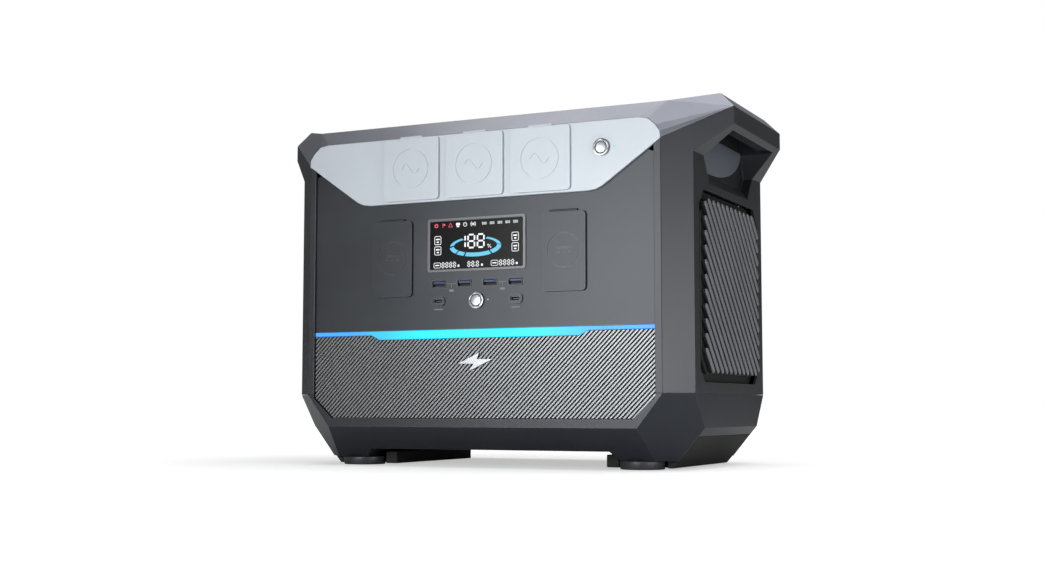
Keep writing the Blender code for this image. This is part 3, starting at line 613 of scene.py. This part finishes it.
def pocket_painted_light_and_shade(side, word):
    """Painted shade as a black sheet on the inner wall of a finger pocket, and painted light as a grey plate
    with a curved lower edge.
    """
    wall = side * POCKET_WALL_X
    low_z, ceiling_z = POCKET_FLOOR_Z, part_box(f"{word}_handle_grip")[1].z
    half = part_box(f"{word}_handle_grip")[1].y
    # Painted shade: a thin black sheet over the part of the wall that lies in shade.
    shade_sheet = bmesh.new()
    wall_outline = [(-half, low_z), (half, low_z), (half + POCKET_BULGE, POCKET_WIDE_Z), (half, ceiling_z)]
    wall_outline += [(-half, ceiling_z), (-half - POCKET_BULGE, POCKET_WIDE_Z)]
    prism(shade_sheet, wall_outline, "X", *sorted((wall + side * 0.05 * MM, wall + side * SKIN)))
    piece(f"{word}_pocket_shade_paint", shade_sheet, BLACK)
    # Painted light: a grey plate whose curved lower edge bounds the lit part of the wall.
    light_patch = bmesh.new()
    centre = (-half / 2, LIGHT_PATCH_TOP_Z)
    drop = LIGHT_PATCH_TOP_Z - low_z - LIGHT_PATCH_MARGIN
    edge = [
        (centre[0] + (half - centre[0]) * math.cos(a), centre[1] + drop * math.sin(a))
        for a in (math.radians(-90 + 90 * step / LIGHT_PATCH_STEPS) for step in range(LIGHT_PATCH_STEPS + 1))
    ]
    outline = [(-half, low_z + LIGHT_PATCH_MARGIN)] + edge + [(-half, LIGHT_PATCH_TOP_Z)]
    prism(light_patch, outline, "X", *sorted((wall + side * SKIN, wall + side * 0.9 * MM)))
    made = piece(f"{word}_pocket_light_paint", light_patch, POCKET_LIGHT_PAINT)
    soften(made, 0.4 * MM)


def rear_screws():
    """Six screws that hold the rear panel, each a domed head with a round recess."""
    low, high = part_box("rear_panel")
    for column, x in enumerate((-SCREW_X, 0, SCREW_X)):
        for row, z in enumerate((low.z + SCREW_INSET, high.z - SCREW_INSET)):
            head = bmesh.new()
            loops = []
            for radius, out in SCREW_PROFILE:
                spots = arc((x, z), radius * MM, 0, 360 - 360 / SCREW_SIDES, SCREW_SIDES - 1)
                loops.append([head.verts.new((px, high.y + out * MM, pz)) for px, pz in spots])
            for first, second in zip(loops, loops[1:]):
                for step in range(SCREW_SIDES):
                    after = (step + 1) % SCREW_SIDES
                    head.faces.new((first[step], first[after], second[after], second[step]))
            head.faces.new(loops[0])
            head.faces.new(loops[-1][::-1])
            piece(f"rear_screw_{column}_{row}", head, ALLOY)


# ---------------------------------------------------------------- covers


def engraved_cover(name, finish, radius, drop, symbol):
    """A softly edged cover with a fine ring and a symbol sunk into its face."""
    low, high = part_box(name)
    x = (low.x + high.x) / 2
    z = (low.z + high.z) / 2 + drop
    cut = bmesh.new()
    ring(cut, (x, z), radius, RING_LINE, low.y - 1 * MM, low.y + GROOVE_DEPTH, 64)
    made = bmesh.new()
    made.from_mesh(nodes[name].data)
    bmesh.ops.remove_doubles(made, verts=made.verts, dist=MERGE_DISTANCE)
    bmesh.ops.dissolve_limit(made, angle_limit=0.01, verts=made.verts, edges=made.edges)
    cover = piece(f"{name}_face", made, finish, body=name, replaces=(name,))
    bevel = cover.modifiers.new("soft", "BEVEL")
    bevel.width = 0.9 * MM
    bevel.segments = 4
    bevel.limit_method = "ANGLE"
    apply_modifiers(cover)
    boolean(cover, mesh_object("ring_cut", cut), "DIFFERENCE")
    for line in symbol((x, z)):
        groove = bmesh.new()
        prism(groove, stroke(line, SYMBOL_LINE), "Y", low.y - 1 * MM, low.y + GROOVE_DEPTH)
        boolean(cover, mesh_object("line_cut", groove), "DIFFERENCE")
    cover.data.materials.clear()
    cover.data.materials.append(finish)
    cover.data.shade_flat()


def wave_symbol(centre):
    """One cycle of a sine wave, for alternating current."""
    reach = 9 * MM
    height = 4.5 * MM
    steps = [index / 16 for index in range(17)]
    return [[(centre[0] - reach + 2 * reach * t, centre[1] + height * math.sin(math.tau * t)) for t in steps]]


def direct_symbol(centre):
    """A solid line over three dashes, for direct current."""
    x, z = centre
    lines = [[(x - 7 * MM, z + 2 * MM), (x + 7 * MM, z + 2 * MM)]]
    for dash in (-5.4, 0, 5.4):
        lines.append([(x + (dash - 1.6) * MM, z - 2 * MM), (x + (dash + 1.6) * MM, z - 2 * MM)])
    return lines


def covers():
    """The five front covers with their symbols, and the rear flap."""
    for index in range(1, 4):
        engraved_cover(f"ac_cover_{index}", SILVER, AC_RING_RADIUS, -0.5 * MM, wave_symbol)
    for word in ("left", "right"):
        engraved_cover(f"dc_cover_{word}", PANEL, DC_RING_RADIUS, 0, direct_symbol)
    dress("rear_port_cover", PANEL, 0.6 * MM, 3)


# ---------------------------------------------------------------- display


SEGMENTS = {
    "a": ((0, 2), (1, 2)), "b": ((1, 2), (1, 1)), "c": ((1, 1), (1, 0)), "d": ((0, 0), (1, 0)),
    "e": ((0, 1), (0, 0)), "f": ((0, 2), (0, 1)), "g": ((0, 1), (1, 1)),
}
LIT_SEGMENTS = {"1": "bc", "8": "abcdefg"}


def digits(shape, text, left, base, width, height, line, gap, y):
    """Adds seven-segment digits as thin bars. A dot takes little room."""
    x = left
    for letter in text:
        if letter == ".":
            half = line / 2
            prism(shape, around(x - gap / 2 + half, base + half, half, half, line * 0.2, 1), "Y", *y)
            x += line
            continue
        for name in LIT_SEGMENTS[letter]:
            start, end = (Vector((x + p[0] * width, base + p[1] * height / 2)) for p in SEGMENTS[name])
            trim = (end - start).normalized() * line * 0.62
            prism(shape, stroke([start + trim, end - trim], line), "Y", *y)
        x += width + gap


# The display's layout, in millimetres from the middle of its window.
GAUGE_PLACE = (-0.7, -2.4)
NUMBER_PLACE = (-17.3, -3.3)
PERCENT_PLACE = (13.2, -2.5)
ICON_ROW = 17.8
READINGS_START = 6.2
READINGS_PITCH = 7.7
SOCKET_ICON_OUT = 38.7
SOCKET_ICON_HEIGHTS = (4.6, -4.7)
COUNTER_ROW = -20.2
COUNTERS = ((-34.4, "8888"), (-8.2, "88.8"), (23.4, "8888"))
COUNTER_FRAMES = (-39.2, 18.4)
COUNTER_UNITS = (-17.6, 6.0, 40.2)

# Where each lit stretch of the gauge starts and ends, in degrees.
GAUGE_BREAKS = (-177, -142, -138, -118, -114, -52, -48, 2, 6, 62, 122, 174)


def gauge_segment(shape, centre, start, end, y):
    """Adds one stretch of the gauge ring, which is widest at the bottom."""
    outer, inner, lift = (25.7 * MM, 9.0 * MM), (21.6 * MM, 6.4 * MM), 0.9 * MM
    steps = 14
    angles = [math.radians(start + (end - start) * step / steps) for step in range(steps + 1)]
    far = [(centre[0] + outer[0] * math.cos(a), centre[1] + outer[1] * math.sin(a)) for a in angles]
    near = [(centre[0] + inner[0] * math.cos(a), centre[1] + lift + inner[1] * math.sin(a)) for a in angles]
    for index in range(steps):
        prism(shape, [far[index], far[index + 1], near[index + 1], near[index]], "Y", *y)


def display():
    """A lit readout: a gauge ring with a number in it, small icons round it and three counters below."""
    low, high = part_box("display_window")
    x, z = (low.x + high.x) / 2, (low.z + high.z) / 2
    y = (low.y - SKIN, low.y - 0.02 * MM)
    white, cyan, red = bmesh.new(), bmesh.new(), bmesh.new()
    number_y = (y[0] - 0.1 * MM, y[1])
    gauge = (x + GAUGE_PLACE[0] * MM, z + GAUGE_PLACE[1] * MM)
    for start, end in zip(GAUGE_BREAKS[::2], GAUGE_BREAKS[1::2]):
        gauge_segment(cyan, gauge, start, end, y)
    number = (x + NUMBER_PLACE[0] * MM, z + NUMBER_PLACE[1] * MM)
    digits(white, "188", *number, 6.4 * MM, 11.6 * MM, DIGIT_LINE, 3.0 * MM, number_y)
    add_percent(white, (x + PERCENT_PLACE[0] * MM, z + PERCENT_PLACE[1] * MM), y)
    top = z + ICON_ROW * MM
    icons(white, red, x, top, y)
    for index in range(5):
        left = x + (READINGS_START + index * READINGS_PITCH) * MM
        digits(white, "888", left, top - 1.1 * MM, 0.9 * MM, 2.2 * MM, 0.35 * MM, 0.7 * MM, y)
    for side in (-1, 1):
        for height in SOCKET_ICON_HEIGHTS:
            socket_icon(white, (x + side * SOCKET_ICON_OUT * MM, z + height * MM), y)
    bottom = z + COUNTER_ROW * MM
    for left, text in COUNTERS:
        digits(white, text, x + left * MM, bottom, 2.2 * MM, 4.6 * MM, 0.75 * MM, 1.7 * MM, y)
    for left in COUNTER_FRAMES:
        frame_line(white, (x + left * MM, bottom + 2.3 * MM), 3.4 * MM, 2.3 * MM, 0.4 * MM, y)
        prism(white, around(x + left * MM, bottom + 2.3 * MM, 2.0 * MM, 0.5 * MM, 0.2 * MM, 1), "Y", *y)
    for left in COUNTER_UNITS:
        prism(white, around(x + left * MM, bottom + 1.2 * MM, 0.9 * MM, 1.0 * MM, 0.3 * MM, 1), "Y", *y)
    piece("display_white", white, WHITE_LIT)
    piece("display_gauge", cyan, CYAN_LIT)
    piece("display_alerts", red, RED_LIT)


def add_percent(shape, centre, y):
    """Adds a slash between two small rings."""
    x, z = centre
    slash = [(x - 1.1 * MM, z - 1.5 * MM), (x + 1.1 * MM, z + 1.5 * MM)]
    prism(shape, stroke(slash, 0.4 * MM), "Y", *y)
    for dx, dz in ((-1.2, 1.0), (1.2, -1.0)):
        ring(shape, (x + dx * MM, z + dz * MM), 0.6 * MM, 0.35 * MM, *y, 12)


def socket_icon(shape, centre, y):
    """Adds a framed plug symbol."""
    x, z = centre
    frame_line(shape, centre, 3.2 * MM, 3.7 * MM, 0.5 * MM, y)
    prism(shape, around(x, z + 1.0 * MM, 1.9 * MM, 0.6 * MM, 0.2 * MM, 1), "Y", *y)
    prism(shape, around(x, z - 1.5 * MM, 1.1 * MM, 0.6 * MM, 0.2 * MM, 1), "Y", *y)


def frame_line(shape, centre, half_width, half_height, line, y):
    """Adds a rounded rectangle drawn as a line."""
    path = around(centre[0], centre[1], half_width, half_height, 1.1 * MM, 4)
    for first, second in zip(path, path[1:] + path[:1]):
        prism(shape, stroke([first, second], line), "Y", *y)


def icons(white, red, x, top, y):
    """Adds the small status icons along the top of the display."""
    ring(red, (x - 40.3 * MM, top), 1.4 * MM, 1.0 * MM, *y, 20)
    stem = x - 33.6 * MM
    prism(red, stroke([(stem, top - 1.9 * MM), (stem, top + 1.9 * MM)], 0.5 * MM), "Y", *y)
    prism(red, around(stem + 1.5 * MM, top + 0.7 * MM, 0.9 * MM, 0.9 * MM, 0.3 * MM, 2), "Y", *y)
    left, right, tip = x - 27.8 * MM, x - 23.8 * MM, (x - 25.8 * MM, top + 1.9 * MM)
    corners = [(left, top - 1.6 * MM), (right, top - 1.6 * MM), tip]
    for first, second in zip(corners, corners[1:] + corners[:1]):
        prism(red, stroke([first, second], 0.45 * MM), "Y", *y)
    prism(white, around(x - 18.2 * MM, top + 0.6 * MM, 2 * MM, 1.2 * MM, 0.9 * MM, 4), "Y", *y)
    prism(white, around(x - 18.2 * MM, top - 1.5 * MM, 1.3 * MM, 0.5 * MM, 0.2 * MM, 2), "Y", *y)
    clock = (x - 11 * MM, top)
    ring(white, clock, 1.7 * MM, 0.45 * MM, *y, 24)
    prism(white, stroke([(clock[0], top + 1.1 * MM), (clock[0], top)], 0.35 * MM), "Y", *y)
    signal = (x - 2.9 * MM, top)
    ring(white, signal, 0.7 * MM, 0.6 * MM, *y, 12)
    for start in (-55, 125):
        for radius in (1.6 * MM, 2.5 * MM):
            band(white, signal, radius, 0.35 * MM, start, start + 110, 8, *y)


# ---------------------------------------------------------------- ports, buttons and print


def usb_a_details():
    """A dark well and a blue tongue in each USB-A opening."""
    for index in range(1, 5):
        front_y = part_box(f"usb_a_port_{index}")[0].y
        middle = centre_of(f"usb_a_port_{index}")
        dark = bmesh.new()
        well = around(middle.x, middle.z, 6.3 * MM, 2.4 * MM, 0.3 * MM, 1)
        prism(dark, well, "Y", front_y + 4 * MM, front_y + 4.4 * MM)
        piece(f"usb_a_{index}_well", dark, BLACK)
        tongue = bmesh.new()
        blade = around(middle.x, middle.z + 1.1 * MM, 5.6 * MM, 0.8 * MM, 0.2 * MM, 1)
        prism(tongue, blade, "Y", front_y + 0.6 * MM, front_y + 3.9 * MM)
        piece(f"usb_a_{index}_tongue", tongue, TONGUE)


def usb_c_collars():
    """The raised collar round each USB-C opening."""
    for index in range(1, 3):
        front_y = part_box(f"usb_c_port_{index}")[0].y
        middle = centre_of(f"usb_c_port_{index}")
        collar = bmesh.new()
        path = around(middle.x, middle.z, 6.6 * MM, 4.2 * MM, 3.2 * MM, 5)
        hole = around(middle.x, middle.z, 5.0 * MM, 2.4 * MM, 2.2 * MM, 5)
        loft_frame(collar, path, hole, front_y - 0.9 * MM, front_y + 0.1 * MM)
        piece(f"usb_c_{index}_collar", collar, PANEL)


def panel_print():
    """The printed lines that join the USB pairs, and the bars that stand for the ports' captions."""
    face_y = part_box("front_panel")[0].y
    depth = (face_y - SKIN, face_y)
    print_lines = bmesh.new()
    centres = [centre_of(f"usb_a_port_{index}") for index in range(1, 5)]
    for left, right in ((centres[0], centres[1]), (centres[2], centres[3])):
        middle = (left.x + right.x) / 2
        join = [(left.x + 8 * MM, left.z), (right.x - 8 * MM, right.z)]
        drop = [(middle, left.z), (middle, left.z - 4 * MM)]
        for line in (join, drop):
            prism(print_lines, stroke(line, PRINT_LINE), "Y", *depth)
        caption = around(middle, left.z - 6.2 * MM, 2.4 * MM, 1.0 * MM, 0.9 * MM, 3)
        prism(print_lines, caption, "Y", *depth)
    for index in range(1, 3):
        place = centre_of(f"usb_c_port_{index}")
        caption = around(place.x, place.z - 7.4 * MM, 4.2 * MM, 0.5 * MM, 0.4 * MM, 2)
        prism(print_lines, caption, "Y", *depth)
    piece("panel_print_lines", print_lines, INK)


def button_lamps():
    """A small lit dot beside each front button."""
    dots = bmesh.new()
    for name, surface_node in (("dc_button", "front_panel"), ("ac_button", "ac_fascia")):
        place = centre_of(name)
        face_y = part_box(surface_node)[0].y
        dot = arc((place.x + 11.2 * MM, place.z + 0.3 * MM), 0.7 * MM, 0, 330, 11)
        prism(dots, dot, "Y", face_y - SKIN, face_y)
    piece("button_lamps", dots, CYAN_LIT)


def loft_frame(shape, outer, inner, front_y, back_y):
    """Adds a frame between two outlines with the same number of points."""
    loops = []
    for outline, y in ((outer, back_y), (outer, front_y), (inner, front_y), (inner, back_y)):
        loops.append([shape.verts.new((px, y, pz)) for px, pz in outline])
    count = len(outer)
    for index in range(4):
        a, b = loops[index], loops[(index + 1) % 4]
        for step in range(count):
            after = (step + 1) % count
            shape.faces.new((a[step], a[after], b[after], b[step]))


# ---------------------------------------------------------------- stage


def stage():
    """A pale floor that fades into the backdrop, soft lights and the camera."""
    floor = bmesh.new()
    corners = [(-FLOOR_REACH, -FLOOR_REACH), (FLOOR_REACH, -FLOOR_REACH)]
    corners += [(FLOOR_REACH, FLOOR_REACH), (-FLOOR_REACH, FLOOR_REACH)]
    prism(floor, corners, "Z", -0.02, 0)
    ground = mesh_object("floor", floor)
    ground.data.materials.append(floor_finish())
    ground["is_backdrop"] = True

    backdrop()
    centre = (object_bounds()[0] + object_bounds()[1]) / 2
    base_corner = Vector((0.19, -0.1, 0.06))
    area("front_low", (-0.3, -1.45, 0.25), centre, 0.6, 10)
    area("right_low", (1.5, -0.6, 0.14), centre, 0.5, 6)
    area("corner_bounce", (0.42, -0.32, 0.02), base_corner, 0.18, 0.35)
    area("overhead", (0.35, 0.2, 1.9), centre, 2.4, 34)
    place_camera()


def place_camera():
    """The camera, and colours shown without a film-like curve."""
    data = bpy.data.cameras.new("camera")
    data.lens = CAMERA_LENS
    data.sensor_width = 36
    data.clip_start = 0.01
    camera = bpy.data.objects.new("camera", data)
    bpy.context.scene.collection.objects.link(camera)
    camera.location = CAMERA_PLACE
    camera.rotation_euler = (math.radians(90 + CAMERA_PITCH), 0, math.radians(CAMERA_YAW))
    bpy.context.scene.camera = camera
    bpy.context.scene.view_settings.view_transform = "Standard"


def floor_finish():
    """A pale floor that glows for the camera only, more strongly further out."""
    made = surface("pale_floor", (0.8, 0.8, 0.8), 0.6, bump=0.0, drift=0.005, edge_highlight=0.0, shine=0.2)
    shader = made.node_tree.nodes["Principled BSDF"]
    shader.inputs["Emission Color"].default_value = (1, 1, 1, 1)
    tree = made.node_tree
    power = seen_only(tree, 0.0, FLOOR_GLOW, shader.inputs["Emission Strength"])
    place = tree.nodes.new("ShaderNodeTexCoord")
    away = tree.nodes.new("ShaderNodeVectorMath")
    away.operation = "LENGTH"
    link(tree, place.outputs["Object"], away.inputs[0])
    fade = tree.nodes.new("ShaderNodeMapRange")
    fade.inputs["From Min"].default_value = FLOOR_GLOW_NEAR
    fade.inputs["From Max"].default_value = FLOOR_GLOW_FAR
    fade.inputs["To Min"].default_value = FLOOR_GLOW
    fade.inputs["To Max"].default_value = 1.0
    link(tree, away.outputs["Value"], fade.inputs["Value"])
    link(tree, fade.outputs["Result"], power.inputs["To Max"])
    return made


def seen_only(tree, unseen, seen, socket):
    """Gives a socket one value for the camera and another for the lighting."""
    path = tree.nodes.new("ShaderNodeLightPath")
    power = tree.nodes.new("ShaderNodeMapRange")
    power.inputs["To Min"].default_value = unseen
    power.inputs["To Max"].default_value = seen
    link(tree, path.outputs["Is Camera Ray"], power.inputs["Value"])
    link(tree, power.outputs["Result"], socket)
    return power


def backdrop():
    """A white surround for the camera and a dimmer one for the lighting."""
    world = bpy.data.worlds.new("studio")
    bpy.context.scene.world = world
    world.use_nodes = True
    tree = world.node_tree
    background = tree.nodes["Background"]
    background.inputs["Color"].default_value = (1, 1, 1, 1)
    seen_only(tree, AMBIENT_LIGHT, 1.0, background.inputs["Strength"])


def area(name, place, target, size, power):
    """A square lamp aimed at a point, which the camera doesn't see."""
    data = bpy.data.lights.new(name, "AREA")
    data.size = size
    data.energy = power
    lamp = bpy.data.objects.new(name, data)
    bpy.context.scene.collection.objects.link(lamp)
    lamp.location = place
    lamp.visible_camera = False
    lamp.rotation_euler = (target - Vector(place)).to_track_quat("-Z", "Y").to_euler()


dress_cad_nodes()
grille_back()
front_grille()
for side, word in ((-1, "left"), (1, "right")):
    louvres(side, word)
    pocket_painted_light_and_shade(side, word)
rear_screws()
gaskets()
covers()
display()
usb_a_details()
usb_c_collars()
panel_print()
button_lamps()
stage()
